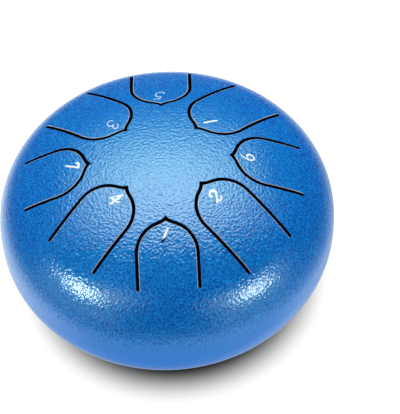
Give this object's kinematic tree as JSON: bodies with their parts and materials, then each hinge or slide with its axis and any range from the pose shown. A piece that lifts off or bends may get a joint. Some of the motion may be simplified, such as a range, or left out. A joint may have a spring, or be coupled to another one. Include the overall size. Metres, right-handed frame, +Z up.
{
  "type": "steel tongue drum",
  "caption": "Closed round steel drum with tongues cut into its crown by U-shaped slots, a sound hole in the base and rubber feet; each tongue rings a note when struck.",
  "frame": {"origin": "on the floor below the middle of the drum, level with the bottoms of the feet", "axes": "+Z up along the drum's axis, -Y towards tongue_1, which faces the player, and +X towards tongue_6"},
  "size_m": [0.25, 0.25, 0.1448],
  "materials": {
    "blue_paint": "glossy hammer-finish enamel, mid blue",
    "number_print": "thin white printed numerals",
    "weld_steel": "bare weld bead",
    "black_rubber": "matte moulded rubber",
    "zinc_steel": "bright zinc plate"
  },
  "bodies": {
    "drum": {"upper_shell": "blue_paint", "lower_shell": "blue_paint", "seam_weld": "weld_steel", "foot_1": "black_rubber", "foot_washer_1": "zinc_steel", "foot_screw_1": "zinc_steel", "foot_nut_1": "zinc_steel", "foot_2": "black_rubber", "foot_washer_2": "zinc_steel", "foot_screw_2": "zinc_steel", "foot_nut_2": "zinc_steel", "foot_3": "black_rubber", "foot_washer_3": "zinc_steel", "foot_screw_3": "zinc_steel", "foot_nut_3": "zinc_steel", "foot_4": "black_rubber", "foot_washer_4": "zinc_steel", "foot_screw_4": "zinc_steel", "foot_nut_4": "zinc_steel"},
    "tongue_1": {"tongue_1": "blue_paint"},
    "tongue_2": {"tongue_2": "blue_paint"},
    "tongue_6": {"tongue_6": "blue_paint"},
    "tongue_1_high": {"tongue_1_high": "blue_paint"},
    "tongue_5": {"tongue_5": "blue_paint"},
    "tongue_3": {"tongue_3": "blue_paint"},
    "tongue_7": {"tongue_7": "blue_paint"},
    "tongue_4": {"tongue_4": "blue_paint"}
  },
  "joints": [
    {"name": "tongue_1_flex", "type": "hinge", "parent": "drum", "child": "tongue_1", "pos_m": [0, -0.10085, 0.11573], "axis": [1, 0, 0], "range_deg": [-0.5, 0.5], "stiffness_Nm_per_rad": 3},
    {"name": "tongue_2_flex", "type": "hinge", "parent": "drum", "child": "tongue_2", "pos_m": [0.07343, -0.07343, 0.11371], "axis": [0.7071, 0.7071, 0], "range_deg": [-0.5, 0.5], "stiffness_Nm_per_rad": 3},
    {"name": "tongue_6_flex", "type": "hinge", "parent": "drum", "child": "tongue_6", "pos_m": [0.10085, 0, 0.11573], "axis": [0, 1, 0], "range_deg": [-0.5, 0.5], "stiffness_Nm_per_rad": 3},
    {"name": "tongue_1_high_flex", "type": "hinge", "parent": "drum", "child": "tongue_1_high", "pos_m": [0.07202, 0.07202, 0.11509], "axis": [-0.7071, 0.7071, 0], "range_deg": [-0.5, 0.5], "stiffness_Nm_per_rad": 3},
    {"name": "tongue_5_flex", "type": "hinge", "parent": "drum", "child": "tongue_5", "pos_m": [0, 0.10235, 0.11476], "axis": [-1, 0, 0], "range_deg": [-0.5, 0.5], "stiffness_Nm_per_rad": 3},
    {"name": "tongue_3_flex", "type": "hinge", "parent": "drum", "child": "tongue_3", "pos_m": [-0.07167, 0.07167, 0.11541], "axis": [-0.7071, -0.7071, 0], "range_deg": [-0.5, 0.5], "stiffness_Nm_per_rad": 3},
    {"name": "tongue_7_flex", "type": "hinge", "parent": "drum", "child": "tongue_7", "pos_m": [-0.10285, 0, 0.11442], "axis": [0, -1, 0], "range_deg": [-0.5, 0.5], "stiffness_Nm_per_rad": 3},
    {"name": "tongue_4_flex", "type": "hinge", "parent": "drum", "child": "tongue_4", "pos_m": [-0.06919, -0.06919, 0.11751], "axis": [0.7071, -0.7071, 0], "range_deg": [-0.5, 0.5], "stiffness_Nm_per_rad": 3}
  ]
}
